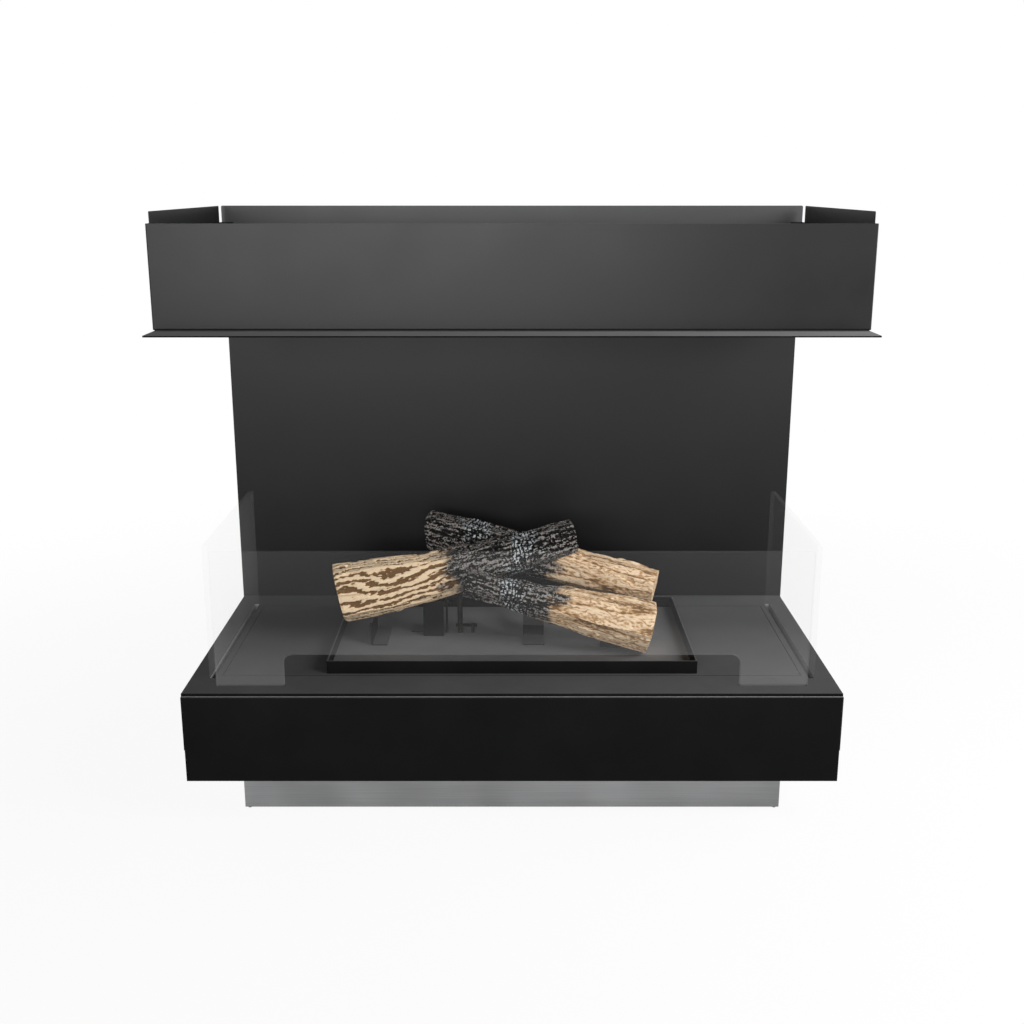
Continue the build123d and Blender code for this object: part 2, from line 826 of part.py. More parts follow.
# Back panel: one sheet from the foot of the base to the top of the hood
with BuildPart() as back_panel:
    with BuildSketch(Plane.XZ.offset(-back_face_y)) as back_outline:
        with Locations((0, plinth_top)):
            Rectangle(cabinet_width, total_height - plinth_top, align=(Align.CENTER, Align.MIN))
        fillet(back_outline.vertices().group_by(Axis.Y)[-1], back_corner)
        with Locations(*[(side * wall_hole_x, total_height - wall_hole_drop) for side in sides]):
            Circle(wall_hole / 2, mode=Mode.SUBTRACT)
    extrude(amount=-back_sheet)
    add(screw_bores(hood_rear_places), mode=Mode.SUBTRACT)

# Hood: three pans on seal strips over a floor plate, open at the top
with BuildPart() as hood_floor_plate:
    with BuildSketch(Plane.XY.offset(hood_base)) as hood_floor_outline:
        with Locations((0, back_face_y)):
            Rectangle(cabinet_width, back_face_y - front_y + lip_projection, align=(Align.CENTER, Align.MAX))
        fillet(hood_floor_outline.vertices().group_by(Axis.Y)[0], lip_corner)
    extrude(amount=plate)
    add(screw_bores(hood_floor_places), mode=Mode.SUBTRACT)

with BuildPart() as hood_seal:
    with BuildSketch(Plane.XY.offset(hood_base + plate)):
        with Locations((0, back_face_y)):
            Rectangle(
                cabinet_width - 2 * seal_setback,
                back_face_y - front_y - seal_setback,
                align=(Align.CENTER, Align.MAX),
            )
            Rectangle(
                cabinet_width - 2 * (seal_setback + seal_width),
                back_face_y - front_y - seal_setback - seal_width,
                align=(Align.CENTER, Align.MAX),
                mode=Mode.SUBTRACT,
            )
    extrude(amount=seal)

with BuildPart() as hood_front_panel:
    with Locations((0, front_y, hood_pan_bottom)):
        Box(
            cabinet_width,
            hood_return,
            hood_front_top - hood_pan_bottom,
            align=(Align.CENTER, Align.MIN, Align.MIN),
        )
    fillet(hood_front_panel.faces().sort_by(Axis.Y)[0].edges().sort_by(Axis.Z)[:-1], bend)
    offset(
        amount=-sheet,
        openings=[hood_front_panel.faces().sort_by(Axis.Y)[-1], hood_front_panel.faces().sort_by(Axis.Z)[-1]],
    )
    add(screw_bores(hood_floor_places), mode=Mode.SUBTRACT)

with BuildPart() as hood_left_panel:
    with Locations((-half_width, front_y + hood_return, hood_pan_bottom)):
        Box(
            hood_return,
            back_face_y - front_y - hood_return,
            hood_front_top - hood_pan_bottom,
            align=(Align.MIN, Align.MIN, Align.MIN),
        )
    fillet(hood_left_panel.faces().sort_by(Axis.X)[0].edges().sort_by(Axis.Z)[:-1], bend)
    offset(
        amount=-sheet,
        openings=[hood_left_panel.faces().sort_by(Axis.X)[-1], hood_left_panel.faces().sort_by(Axis.Z)[-1]],
    )
    with Locations((-half_width + bend, back_face_y, total_height - tab_notch)):
        Box(
            2 * hood_return,
            2 * tab_rear,
            total_height,
            align=(Align.CENTER, Align.CENTER, Align.MIN),
            mode=Mode.SUBTRACT,
        )
    with BuildSketch(Plane.YZ.offset(-half_width)) as tab_outline:
        with Locations((front_y + hood_return, total_height)):
            Rectangle(
                back_face_y - front_y - hood_return - tab_rear,
                total_height - hood_front_top + bend,
                align=(Align.MIN, Align.MAX),
            )
        fillet(tab_outline.vertices().group_by(Axis.Y)[-1], back_corner)
    extrude(amount=sheet)
    add(screw_bores(hood_floor_places + hood_rear_places), mode=Mode.SUBTRACT)

with BuildPart() as hood_right_panel:
    mirror(hood_left_panel.part, about=Plane.YZ)

# Screws, in groups of like places
with BuildPart() as hood_rear_screws:
    with Locations(*hood_rear_places):
        add(hexagon_screw(sheet + back_sheet))

with BuildPart() as hood_floor_screws:
    with Locations(*hood_floor_places):
        add(hexagon_screw(sheet + seal + plate))

pieces = {
    "plinth_front_skirt": plinth_front_skirt,
    "plinth_rear_skirt": plinth_rear_skirt,
    "plinth_left_skirt": plinth_left_skirt,
    "plinth_right_skirt": plinth_right_skirt,
    "plinth_corner_blocks": plinth_corner_blocks,
    "base_floor": base_floor,
    "front_fascia": front_fascia,
    "left_side_panel": left_side_panel,
    "right_side_panel": right_side_panel,
    "left_side_trim": left_side_trim,
    "right_side_trim": right_side_trim,
    "base_top_plate": base_top_plate,
    "cover_ledge": cover_ledge,
    "front_glass_channels": front_glass_channels,
    "left_glass_channel": left_glass_channel,
    "right_glass_channel": right_glass_channel,
    "front_glass_pads": front_glass_pads,
    "left_glass_pad": left_glass_pad,
    "right_glass_pad": right_glass_pad,
    "front_glass": front_glass,
    "left_glass": left_glass,
    "right_glass": right_glass,
    "service_cover": service_cover,
    "burner_collar": burner_collar,
    "burner_plate": burner_plate,
    "fuel_tank": fuel_tank,
    "wool_block": wool_block,
    "flame_slider": flame_slider,
    "slider_guides": slider_guides,
    "log_bracket_1": log_bracket_1,
    "log_bracket_2": log_bracket_2,
    "log_bracket_3": log_bracket_3,
    "log_bracket_4": log_bracket_4,
    "log_bracket_5": log_bracket_5,
    "support_post": support_post,
    "support_pin": support_pin,
    "post_clamp": post_clamp,
    "pin_clamp": pin_clamp,
    "clamp_screw": clamp_screw,
    "top_log": top_log,
    "front_log": front_log,
    "back_log": back_log,
    "back_panel": back_panel,
    "hood_floor_plate": hood_floor_plate,
    "hood_seal": hood_seal,
    "hood_front_panel": hood_front_panel,
    "hood_left_panel": hood_left_panel,
    "hood_right_panel": hood_right_panel,
    "hood_rear_screws": hood_rear_screws,
    "hood_floor_screws": hood_floor_screws,
}
for place, levelling_screw in levelling_screws.items():
    pieces[f"levelling_screw_{place}"] = levelling_screw

for name, piece in pieces.items():
    piece.part.label = name
    export_step(piece.part, f"parts/{name}.step")
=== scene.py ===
import math

import bmesh
import bpy
import numpy as np
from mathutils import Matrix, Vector, noise


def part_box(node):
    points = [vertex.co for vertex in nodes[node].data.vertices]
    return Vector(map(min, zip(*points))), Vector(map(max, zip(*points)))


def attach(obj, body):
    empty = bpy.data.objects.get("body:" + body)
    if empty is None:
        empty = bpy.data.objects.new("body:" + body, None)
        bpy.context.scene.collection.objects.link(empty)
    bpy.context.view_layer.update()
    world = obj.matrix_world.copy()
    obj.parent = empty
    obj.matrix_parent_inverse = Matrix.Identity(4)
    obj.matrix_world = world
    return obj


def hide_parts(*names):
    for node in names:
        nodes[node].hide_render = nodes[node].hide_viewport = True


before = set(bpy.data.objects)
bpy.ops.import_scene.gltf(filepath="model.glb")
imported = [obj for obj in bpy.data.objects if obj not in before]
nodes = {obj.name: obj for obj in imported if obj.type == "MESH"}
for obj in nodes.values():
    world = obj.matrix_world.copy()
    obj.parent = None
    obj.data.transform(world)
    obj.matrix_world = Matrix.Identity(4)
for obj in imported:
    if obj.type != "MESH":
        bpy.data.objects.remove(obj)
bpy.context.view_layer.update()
MM = 0.001

# Plinth: four skirts of stainless steel sheet, bent to an angle and spot-welded under the base.
# The sheet was brushed along its length, which leaves fine level lines and a soft, broad sheen.
# A noise pattern runs mostly from 0.3 to 0.7, so that span is stretched where it sets a finish.
noise_span = {"From_Min": 0.3, "From_Max": 0.7}


def linear(colour):
    """An sRGB hex colour as the linear colour that a shader takes."""
    channels = [int(colour[place : place + 2], 16) / 255 for place in (1, 3, 5)]
    return [c / 12.92 if c <= 0.04045 else ((c + 0.055) / 1.055) ** 2.4 for c in channels] + [1.0]


def add_node(material, kind, settings=None, **inputs):
    """Adds one node. A setting is a property, or the stops of a ramp: positions with hex colours.
    An input is a value, or the socket that feeds it; _0 is the first input."""
    node = material.node_tree.nodes.new(kind)
    for name, value in (settings or {}).items():
        if name != "stops":
            setattr(node, name, value)
            continue
        for number, (position, colour) in enumerate(value):
            if number > 1:
                node.color_ramp.elements.new(1.0)
            node.color_ramp.elements[number].position = position
            node.color_ramp.elements[number].color = linear(colour)
    for name, value in inputs.items():
        socket = node.inputs[int(name[1:]) if name[1:].isdigit() else name.replace("_", " ")]
        if isinstance(value, bpy.types.NodeSocket):
            material.node_tree.links.new(value, socket)
        else:
            socket.default_value = value
    return node


def new_material(name):
    """A material whose node tree is still empty."""
    material = bpy.data.materials.new(name)
    material.use_nodes = True
    material.node_tree.nodes.clear()
    return material


def finish_material(material, surface):
    """Links the finished surface to the material's output."""
    add_node(material, "ShaderNodeOutputMaterial", Surface=surface)
    return material


def dress(names, material):
    """Gives CAD nodes a finished material in place of their plain one."""
    for name in names:
        nodes[name].data.materials.clear()
        nodes[name].data.materials.append(material)


def brushed_stainless_steel():
    """Brushed 304 steel: lines 160 mm long and 0.4 mm apart, drawn 1.2 mm apart to show."""
    line_length = 160 * MM
    line_spacing = 1.2 * MM
    material = new_material("brushed_stainless_steel")
    place = add_node(material, "ShaderNodeTexCoord").outputs["Object"]
    lines = add_node(
        material,
        "ShaderNodeMapping",
        Vector=place,
        Scale=(1 / line_length, 1 / line_length, 1 / line_spacing),
    ).outputs["Vector"]
    brushing = add_node(
        material, "ShaderNodeTexNoise", Vector=lines, Scale=1.0, Detail=3.0, Roughness=0.6
    ).outputs["Fac"]
    wiped = add_node(
        material, "ShaderNodeTexNoise", Vector=place, Scale=1 / (120 * MM), Detail=2.0
    ).outputs["Fac"]
    colour_stops = [(0.2, "#c2c3c4"), (0.5, "#cdcecf"), (0.8, "#dadbdc")]
    colour = add_node(
        material, "ShaderNodeValToRGB", {"stops": colour_stops}, Fac=brushing
    ).outputs["Color"]
    roughness = add_node(
        material, "ShaderNodeMapRange", Value=wiped, **noise_span, To_Min=0.3, To_Max=0.42
    ).outputs["Result"]
    relief = add_node(
        material, "ShaderNodeBump", Height=brushing, Strength=0.25, Distance=0.1 * MM
    ).outputs["Normal"]
    steel = add_node(
        material,
        "ShaderNodeBsdfPrincipled",
        Base_Color=colour,
        Metallic=1.0,
        Roughness=roughness,
        Normal=relief,
    )
    return finish_material(material, steel.outputs["BSDF"])


skirts = ["plinth_front_skirt", "plinth_rear_skirt", "plinth_left_skirt", "plinth_right_skirt"]
dress(skirts, brushed_stainless_steel())

# Levelling screws, their corner blocks, the hood's hexagon screws and the folded channels that hold
# the glasses: steel with a bright zinc plating, which is faintly blue and slightly cloudy.


def zinc_plated_steel():
    """Zinc plating, with a cloudy crystal pattern about 4 mm across."""
    material = new_material("zinc_plated_steel")
    place = add_node(material, "ShaderNodeTexCoord").outputs["Object"]
    clouds = add_node(
        material, "ShaderNodeTexNoise", Vector=place, Scale=1 / (4 * MM), Detail=3.0
    ).outputs["Fac"]
    colour_stops = [(0.3, "#8f959a"), (0.55, "#a9aeb1"), (0.75, "#bfc2c0")]
    colour = add_node(
        material, "ShaderNodeValToRGB", {"stops": colour_stops}, Fac=clouds
    ).outputs["Color"]
    roughness = add_node(
        material, "ShaderNodeMapRange", Value=clouds, **noise_span, To_Min=0.24, To_Max=0.4
    ).outputs["Result"]
    zinc = add_node(
        material, "ShaderNodeBsdfPrincipled", Base_Color=colour, Metallic=1.0, Roughness=roughness
    )
    return finish_material(material, zinc.outputs["BSDF"])


screws = [name for name in nodes if name.startswith("levelling_screw")]
screws += ["hood_floor_screws", "hood_rear_screws"]
channels = ["front_glass_channels", "left_glass_channel", "right_glass_channel"]
dress([*screws, *channels, "plinth_corner_blocks"], zinc_plated_steel())

# Cabinet: folded sheet steel, spot-welded into a base, a back panel and a hood, with the service
# cover, burner collar, plate and log brackets of the same finish. It is powder-coated black, which
# gives a satin skin with a fine orange-peel grain. Where it lies level it is greyed by dust, by
# heat on the burner plate, and by painted light from above.
# The back panel is painted lighter towards its top between these heights, as painted light.
upward_light_low = 250 * MM
upward_light_high = 950 * MM


def black_powder_coat(name, coat, dust, gloss, upward_light_stops=None):
    """Polyester powder coat, black: grain 0.8 mm across, drawn at 2 mm to show. The coat and the
    dust on it have two colours each, thin and thick; on faces that look up, the dust colour is
    dust and painted light from above together. Rising colours stand in for the coat's on a sheet
    that is painted lighter towards its top, as painted light, between the two heights set above."""
    material = new_material(name)
    place = add_node(material, "ShaderNodeTexCoord").outputs["Object"]
    facing = add_node(material, "ShaderNodeNewGeometry").outputs["Normal"]
    upward = add_node(material, "ShaderNodeSeparateXYZ", Vector=facing).outputs["Z"]
    # Dust and painted light from above start on a face that is 53 degrees from level, and cover it
    # from 18 degrees.
    level = add_node(
        material, "ShaderNodeMapRange", Value=upward, From_Min=0.6, From_Max=0.95
    ).outputs["Result"]
    grain = add_node(
        material, "ShaderNodeTexNoise", Vector=place, Scale=1 / (2 * MM), Detail=2.0, Roughness=0.55
    ).outputs["Fac"]
    wiped = add_node(
        material, "ShaderNodeTexNoise", Vector=place, Scale=1 / (90 * MM), Detail=3.0, Roughness=0.6
    ).outputs["Fac"]
    if upward_light_stops:
        height = add_node(material, "ShaderNodeSeparateXYZ", Vector=place).outputs["Z"]
        upward_share = add_node(
            material, "ShaderNodeMapRange", Value=height, From_Min=upward_light_low, From_Max=upward_light_high
        ).outputs["Result"]
        clean = add_node(
            material, "ShaderNodeValToRGB", {"stops": upward_light_stops}, Fac=upward_share
        ).outputs["Color"]
    else:
        clean = add_node(
            material, "ShaderNodeValToRGB", {"stops": zip((0.3, 0.7), coat)}, Fac=wiped
        ).outputs["Color"]
    dusty = add_node(
        material, "ShaderNodeValToRGB", {"stops": zip((0.3, 0.7), dust)}, Fac=wiped
    ).outputs["Color"]
    colour = add_node(
        material, "ShaderNodeMix", {"data_type": "RGBA"}, _0=level, _6=clean, _7=dusty
    ).outputs[2]
    roughness = add_node(
        material, "ShaderNodeMapRange", Value=wiped, **noise_span, To_Min=0.33, To_Max=0.38
    ).outputs["Result"]
    relief = add_node(
        material, "ShaderNodeBump", Height=grain, Strength=0.05, Distance=0.15 * MM
    ).outputs["Normal"]
    skin = add_node(
        material,
        "ShaderNodeBsdfPrincipled",
        Base_Color=colour,
        Roughness=roughness,
        Specular_IOR_Level=gloss,
        Normal=relief,
    )
    return finish_material(material, skin.outputs["BSDF"])


# Lit and shaded copies of one coat: their blacks and their gloss differ as painted light and shade.
satin_gloss = 0.25
plain_gloss = 0.14
dusty_gloss = 0.0
lit_copy_black = ("#141415", "#19191a")
shaded_copy_black = ("#101011", "#131314")
deep_shade_black = ("#0e0e0f", "#111112")
dusty_black = ("#1a1a1b", "#1f1f20")
# Colours for faces that look up: dust, made paler by painted light from above.
thin_dust_and_painted_light = ("#2c2c2d", "#323233")
plain_dust_and_painted_light = ("#505051", "#585859")
base_dust_and_painted_light = ("#515152", "#575758")
burner_dust_and_painted_light = ("#6e6e6f", "#767677")
lip_dust_and_painted_light = ("#868687", "#8e8e8f")
# A pale colour for the fascia's level top edge: a painted highlight.
painted_edge_highlight = ("#8c8c8d", "#949495")
# Painted light: the back panel's black lightens towards its top, most where it shows above the
# hood.
painted_light_upward = [
    (0.0, "#161617"),
    (0.36, "#1c1c1d"),
    (0.76, "#29292a"),
    (0.86, "#2e2e2f"),
    (0.94, "#4c4c4d"),
]

# The hood's front is a lit copy of the coat, lighter and glossier as painted light; the fascia,
# side panels, collar and brackets are shaded copies, darker and duller as painted shade. The back
# panel is painted lighter towards its top, as painted light. Dust with painted light lightens the
# base, the burner plate and the lip that stands out under the hood, and the fascia's level top edge
# carries a painted highlight.
# Lit copy: a lighter, glossier black, as painted light on the hood's front.
satin = black_powder_coat("black_powder_coat_satin", lit_copy_black, lit_copy_black, satin_gloss)
dress(["hood_front_panel"], satin)
# The back panel: painted light that grows towards its top.
upward_lit_coat = black_powder_coat(
    "black_powder_coat_painted_light_upward", None, thin_dust_and_painted_light, satin_gloss, painted_light_upward
)
dress(["back_panel"], upward_lit_coat)
# Shaded copy: a darker, duller black, as painted shade.
plain = black_powder_coat("black_powder_coat_plain", shaded_copy_black, plain_dust_and_painted_light, plain_gloss)
dress(["left_side_panel", "right_side_panel", "left_side_trim", "right_side_trim"], plain)
dress(["base_floor", "cover_ledge", "burner_collar", "hood_left_panel", "hood_right_panel"], plain)
dress([f"log_bracket_{number}" for number in range(1, 6)], plain)
# The fascia: a darker black as painted shade, with a painted highlight on its level top edge.
edged = black_powder_coat("black_powder_coat_painted_edge_highlight", deep_shade_black, painted_edge_highlight, plain_gloss)
dress(["front_fascia"], edged)
# Dust and painted light from above on the base's level faces.
dusty = black_powder_coat("black_powder_coat_dust_and_painted_light", dusty_black, base_dust_and_painted_light, dusty_gloss)
dress(["base_top_plate", "service_cover"], dusty)
# Heat fading, dust and painted light from above on the burner plate.
faded_and_top_lit = black_powder_coat("black_powder_coat_heat_faded_and_painted_light", dusty_black, burner_dust_and_painted_light, dusty_gloss)
dress(["burner_plate"], faded_and_top_lit)
# Dust and painted light from above on the lip, the palest of the coats.
lip_coat_top_lit = black_powder_coat("black_powder_coat_lip_dust_and_painted_light", dusty_black, lip_dust_and_painted_light, dusty_gloss)
dress(["hood_floor_plate"], lip_coat_top_lit)

# Support post, support pin, their clamps and the clamp screw: plain steel, darkened by the heat to
# a brown-grey scale that is uneven and almost without shine.


def heat_darkened_steel():
    """Mill scale over steel, mottled in patches about 6 mm across."""
    material = new_material("heat_darkened_steel")
    place = add_node(material, "ShaderNodeTexCoord").outputs["Object"]
    mottle = add_node(
        material, "ShaderNodeTexNoise", Vector=place, Scale=1 / (6 * MM), Detail=4.0, Roughness=0.7
    ).outputs["Fac"]
    colour_stops = [(0.3, "#171615"), (0.55, "#211f1d"), (0.75, "#2d2a27")]
    colour = add_node(
        material, "ShaderNodeValToRGB", {"stops": colour_stops}, Fac=mottle
    ).outputs["Color"]
    roughness = add_node(
        material, "ShaderNodeMapRange", Value=mottle, **noise_span, To_Min=0.42, To_Max=0.62
    ).outputs["Result"]
    relief = add_node(
        material, "ShaderNodeBump", Height=mottle, Strength=0.2, Distance=0.1 * MM
    ).outputs["Normal"]
    scale = add_node(
        material,
        "ShaderNodeBsdfPrincipled",
        Base_Color=colour,
        Roughness=roughness,
        Specular_IOR_Level=0.1,
        Normal=relief,
    )
    return finish_material(material, scale.outputs["BSDF"])


log_rests = ["support_post", "support_pin", "post_clamp", "pin_clamp", "clamp_screw"]
dress(log_rests, heat_darkened_steel())

# Soft pads under the glasses and the seal strips under the hood: silicone rubber cut from strip,
# milky under the front glass, grey under the side glasses and black where it seals the hood. Its
# skin is dull and faintly dusty.


def silicone_rubber(name, clean, dusty):
    """Silicone rubber: dull, with dust in patches about 10 mm across."""
    material = new_material(name)
    place = add_node(material, "ShaderNodeTexCoord").outputs["Object"]
    dust = add_node(
        material, "ShaderNodeTexNoise", Vector=place, Scale=1 / (10 * MM), Detail=5.0, Roughness=0.7
    ).outputs["Fac"]
    colour = add_node(
        material, "ShaderNodeValToRGB", {"stops": [(0.35, clean), (0.75, dusty)]}, Fac=dust
    ).outputs["Color"]
    rubber = add_node(material, "ShaderNodeBsdfPrincipled", Base_Color=colour, Roughness=0.8)
    return finish_material(material, rubber.outputs["BSDF"])


dress(["front_glass_pads"], silicone_rubber("milky_silicone_rubber", "#c9cac8", "#bcbcb8"))
grey_rubber = silicone_rubber("grey_silicone_rubber", "#5d5e5e", "#585858")
dress(["left_glass_pad", "right_glass_pad"], grey_rubber)
dress(["hood_seal"], silicone_rubber("black_silicone_rubber", "#141414", "#242423"))

# Glasses: 8 mm toughened float glass with ground and polished edges, clear but for a faint haze.
# The foot of each, which stands in its channel, is painted grey up to the base's top face, as
# painted light that fills the channel's shade. Above it, the front glass has a film of dust.
dust_rise = 100 * MM


def toughened_glass(name, channel_light_colour, foot_dust):
    """Clear float glass. A thin pane moves what is behind it too little to see, so it lets light
    straight through. The haze at each face grows from 1.1 % face on to 10 % at a glancing angle,
    and the gloss from 0.6 % to 1.5 %. Dust adds its own share of haze, most at the foot."""
    material = new_material(name)
    slant = add_node(material, "ShaderNodeLayerWeight", Blend=0.5).outputs["Facing"]
    steep = add_node(
        material, "ShaderNodeMath", {"operation": "POWER"}, _0=slant, _1=5.0
    ).outputs["Value"]
    clear = add_node(material, "ShaderNodeBsdfTransparent", Color=linear("#ffffff")).outputs["BSDF"]
    haze = add_node(material, "ShaderNodeBsdfDiffuse", Color=linear("#ffffff")).outputs["BSDF"]
    haze_share = add_node(
        material, "ShaderNodeMapRange", Value=steep, To_Min=0.011, To_Max=0.1
    ).outputs["Result"]
    place = add_node(material, "ShaderNodeTexCoord").outputs["Object"]
    height = add_node(material, "ShaderNodeSeparateXYZ", Vector=place).outputs["Z"]
    base_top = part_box("base_top_plate")[1][2]
    dust_share = add_node(
        material,
        "ShaderNodeMapRange",
        Value=height,
        From_Min=base_top + dust_rise,
        From_Max=base_top,
        To_Min=0.0,
        To_Max=foot_dust,
    ).outputs["Result"]
    film_share = add_node(
        material, "ShaderNodeMath", {"operation": "ADD"}, _0=haze_share, _1=dust_share
    ).outputs["Value"]
    hazy = add_node(
        material, "ShaderNodeMixShader", _0=film_share, _1=clear, _2=haze
    ).outputs["Shader"]
    gloss = add_node(
        material, "ShaderNodeBsdfGlossy", Color=linear("#ffffff"), Roughness=0.02
    ).outputs["BSDF"]
    gloss_share = add_node(
        material, "ShaderNodeMapRange", Value=steep, To_Min=0.006, To_Max=0.015
    ).outputs["Result"]
    pane = add_node(
        material, "ShaderNodeMixShader", _0=gloss_share, _1=hazy, _2=gloss
    ).outputs["Shader"]
    in_channel = add_node(
        material, "ShaderNodeMath", {"operation": "LESS_THAN"}, _0=height, _1=base_top
    ).outputs["Value"]
    # Below the base's top face the pane is a plain grey: painted light that fills the shade in the
    # channel.
    painted_channel_light = add_node(
        material, "ShaderNodeBsdfDiffuse", Color=linear(channel_light_colour)
    ).outputs["BSDF"]
    glass = add_node(material, "ShaderNodeMixShader", _0=in_channel, _1=pane, _2=painted_channel_light)
    return finish_material(material, glass.outputs["Shader"])


dress(["front_glass"], toughened_glass("toughened_glass_dark_foot", "#5c5c5e", 0.04))
dress(["left_glass", "right_glass"], toughened_glass("toughened_glass_pale_foot", "#8c8c8e", 0.0))

# Fuel tank, flame slider and its guides: plain rolled stainless steel, with the faint grain of the
# roll and a slightly blue, heat-tinted bloom near the flame.


def rolled_stainless_steel():
    """Rolled 304 steel: grain lines 60 mm long and 1 mm apart, under a broad heat tint."""
    grain_length = 60 * MM
    grain_spacing = 1 * MM
    material = new_material("rolled_stainless_steel")
    place = add_node(material, "ShaderNodeTexCoord").outputs["Object"]
    lines = add_node(
        material,
        "ShaderNodeMapping",
        Vector=place,
        Scale=(1 / grain_length, 1 / grain_spacing, 1 / grain_spacing),
    ).outputs["Vector"]
    grain = add_node(
        material, "ShaderNodeTexNoise", Vector=lines, Scale=1.0, Detail=3.0
    ).outputs["Fac"]
    bloom = add_node(
        material, "ShaderNodeTexNoise", Vector=place, Scale=1 / (60 * MM), Detail=2.0
    ).outputs["Fac"]
    colour_stops = [(0.3, "#9a9a98"), (0.5, "#a79d8c"), (0.7, "#8f949c")]
    colour = add_node(
        material, "ShaderNodeValToRGB", {"stops": colour_stops}, Fac=bloom
    ).outputs["Color"]
    relief = add_node(
        material, "ShaderNodeBump", Height=grain, Strength=0.15, Distance=0.1 * MM
    ).outputs["Normal"]
    steel = add_node(
        material,
        "ShaderNodeBsdfPrincipled",
        Base_Color=colour,
        Metallic=1.0,
        Roughness=0.32,
        Normal=relief,
    )
    return finish_material(material, steel.outputs["BSDF"])


dress(["fuel_tank", "flame_slider", "slider_guides"], rolled_stainless_steel())

# Wool block: a pad of white ceramic fibre that holds the fuel. It is cut from blanket, so its edges
# are soft and its faces are matted and slightly uneven.
wool_edge = 5 * MM
wool_unevenness = 1.5 * MM
wool_tuft = 14 * MM


def ceramic_fibre_wool():
    """Ceramic fibre blanket: matted fibres, drawn as tangled lines 1.5 mm across."""
    material = new_material("ceramic_fibre_wool")
    place = add_node(material, "ShaderNodeTexCoord").outputs["Object"]
    matting = add_node(
        material,
        "ShaderNodeTexNoise",
        Vector=place,
        Scale=1 / (1.5 * MM),
        Detail=6.0,
        Roughness=0.7,
        Distortion=1.5,
    ).outputs["Fac"]
    colour_stops = [(0.3, "#b9b4a8"), (0.6, "#e4e0d6"), (0.8, "#f1eee6")]
    colour = add_node(
        material, "ShaderNodeValToRGB", {"stops": colour_stops}, Fac=matting
    ).outputs["Color"]
    relief = add_node(
        material, "ShaderNodeBump", Height=matting, Strength=0.8, Distance=1 * MM
    ).outputs["Normal"]
    wool = add_node(
        material, "ShaderNodeBsdfPrincipled", Base_Color=colour, Roughness=0.95, Normal=relief
    )
    return finish_material(material, wool.outputs["BSDF"])


def new_piece(name, mesh, material, body, node):
    """Puts a finished mesh in the scene, riding on its body, in place of a CAD node."""
    mesh.materials.clear()
    mesh.materials.append(material)
    piece = bpy.data.objects.new(name, mesh)
    bpy.context.scene.collection.objects.link(piece)
    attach(piece, body)
    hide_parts(node)


wool_low, wool_high = [Vector(corner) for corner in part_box("wool_block")]
wool = bmesh.new()
bmesh.ops.create_cube(wool, size=1.0)
bmesh.ops.scale(wool, vec=wool_high - wool_low, verts=wool.verts)
bmesh.ops.translate(wool, vec=(wool_high + wool_low) / 2, verts=wool.verts)
bmesh.ops.bevel(
    wool, geom=wool.edges[:], offset=wool_edge, segments=4, profile=0.5, affect="EDGES", material=-1
)
long_edges = [edge for edge in wool.edges if edge.calc_length() > 4 * wool_edge]
bmesh.ops.subdivide_edges(wool, edges=long_edges, cuts=60, use_grid_fill=True)
wool.normal_update()
for vert in wool.verts:
    matted = 0.5 + 0.5 * noise.noise(vert.co / wool_tuft)
    vert.co -= vert.normal * wool_unevenness * matted
bmesh.ops.recalc_face_normals(wool, faces=wool.faces)
wool_mesh = bpy.data.meshes.new("fibre_pad")
wool.to_mesh(wool_mesh)
wool.free()
wool_mesh.polygons.foreach_set("use_smooth", [True] * len(wool_mesh.polygons))
wool_finish = ceramic_fibre_wool()
new_piece("fibre_pad", wool_mesh, wool_finish, "burner_module", "wool_block")

# Logs: cast refractory ceramic, painted as split firewood. Raised plates of pale wood stand out of
# brown furrows, and the parts near the flame are painted as charcoal, cracked across the grain and
# dusted with grey ash. The relief is in the mesh, and its height also sets the paint.
log_voxel = 1.25 * MM
bold_furrow_depth = 3.2 * MM
fine_furrow_depth = 1.3 * MM
crack_depth = 2.6 * MM
lost_plate_depth = 2.2 * MM
grit_depth = 0.4 * MM
bold_furrows_round = 20
fine_furrows_round = 30
splits_round = 23
crack_spacing = 6.5 * MM
ash_reach = 26 * MM
char_fade = 13 * MM


def smooth_step(low, high, value):
    """0 below low, 1 above high, and a soft rise between them."""
    share = min(max((value - low) / (high - low), 0.0), 1.0)
    return share * share * (3 - 2 * share)


def fused_solid(node, voxel):
    """A CAD node's shape as one even skin, which leaves the node itself alone."""
    shape = bmesh.new()
    shape.from_mesh(nodes[node].data)
    bmesh.ops.remove_doubles(shape, verts=shape.verts, dist=0.01 * MM)
    mesh = bpy.data.meshes.new(f"{node}_core")
    shape.to_mesh(mesh)
    shape.free()
    core = bpy.data.objects.new(f"{node}_core", mesh)
    bpy.context.scene.collection.objects.link(core)
    remesh = core.modifiers.new("even_skin", "REMESH")
    remesh.mode = "VOXEL"
    remesh.voxel_size = voxel
    depsgraph = bpy.context.evaluated_depsgraph_get()
    skin = bpy.data.meshes.new_from_object(core.evaluated_get(depsgraph))
    bpy.data.objects.remove(core)
    return skin


def streak(place, length, width, shift):
    """Noise that is drawn out along the grain: streaks of about this length and width."""
    return noise.noise(Vector((place.x / length + shift, place.y / width, place.z / width)))


